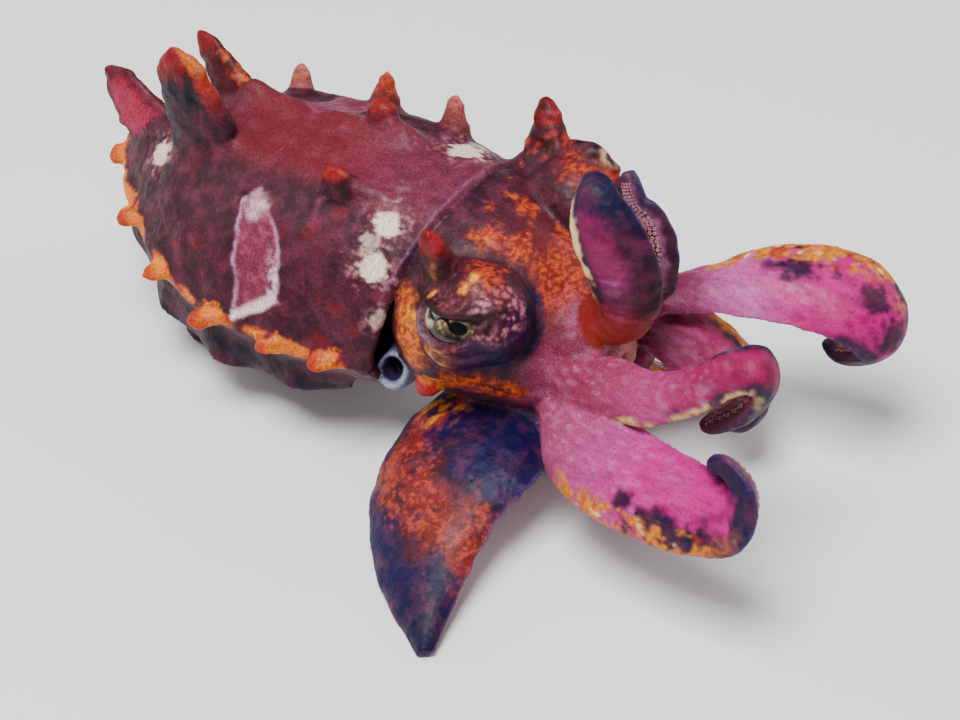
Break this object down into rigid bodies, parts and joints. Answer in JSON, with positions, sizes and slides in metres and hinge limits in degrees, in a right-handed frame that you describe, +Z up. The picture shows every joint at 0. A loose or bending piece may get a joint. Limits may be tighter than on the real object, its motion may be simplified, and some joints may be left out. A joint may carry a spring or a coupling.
{
  "type": "flamboyant cuttlefish model",
  "caption": "Still life-size model of a flamboyant cuttlefish walking on the floor, arms spread, with skin papillae, fins and suckers.",
  "frame": {"origin": "on the floor, under the middle of the whole model's bounding box", "axes": "+X towards the arms along the animal's length, +Y to the animal's left, +Z up"},
  "size_m": [0.1148, 0.0674, 0.0505],
  "materials": {
    "mantle_skin": "satin",
    "head_skin": "satin",
    "arm_skin": "satin",
    "fin_skin": "satin",
    "funnel_skin": "satin",
    "lip_skin": "satin",
    "eye": "gloss"
  },
  "bodies": {
    "root": {"mantle": "mantle_skin", "fin_right": "fin_skin", "fin_left": "fin_skin", "walking_flap_right": "arm_skin", "walking_flap_left": "arm_skin", "head": "head_skin", "eye_right": "eye", "eye_left": "eye", "funnel": "funnel_skin", "mouth": "lip_skin", "arm_1_right_base": "arm_skin", "arm_1_right_tip": "arm_skin", "arm_1_left_base": "arm_skin", "arm_1_left_tip": "arm_skin", "arm_2_right_base": "arm_skin", "arm_2_right_tip": "arm_skin", "arm_2_left_base": "arm_skin", "arm_2_left_tip": "arm_skin", "arm_3_right_base": "arm_skin", "arm_3_right_tip": "arm_skin", "arm_3_left_base": "arm_skin", "arm_3_left_tip": "arm_skin", "arm_4_right_base": "arm_skin", "arm_4_right_tip": "arm_skin", "arm_4_left_base": "arm_skin", "arm_4_left_tip": "arm_skin"}
  },
  "joints": []
}
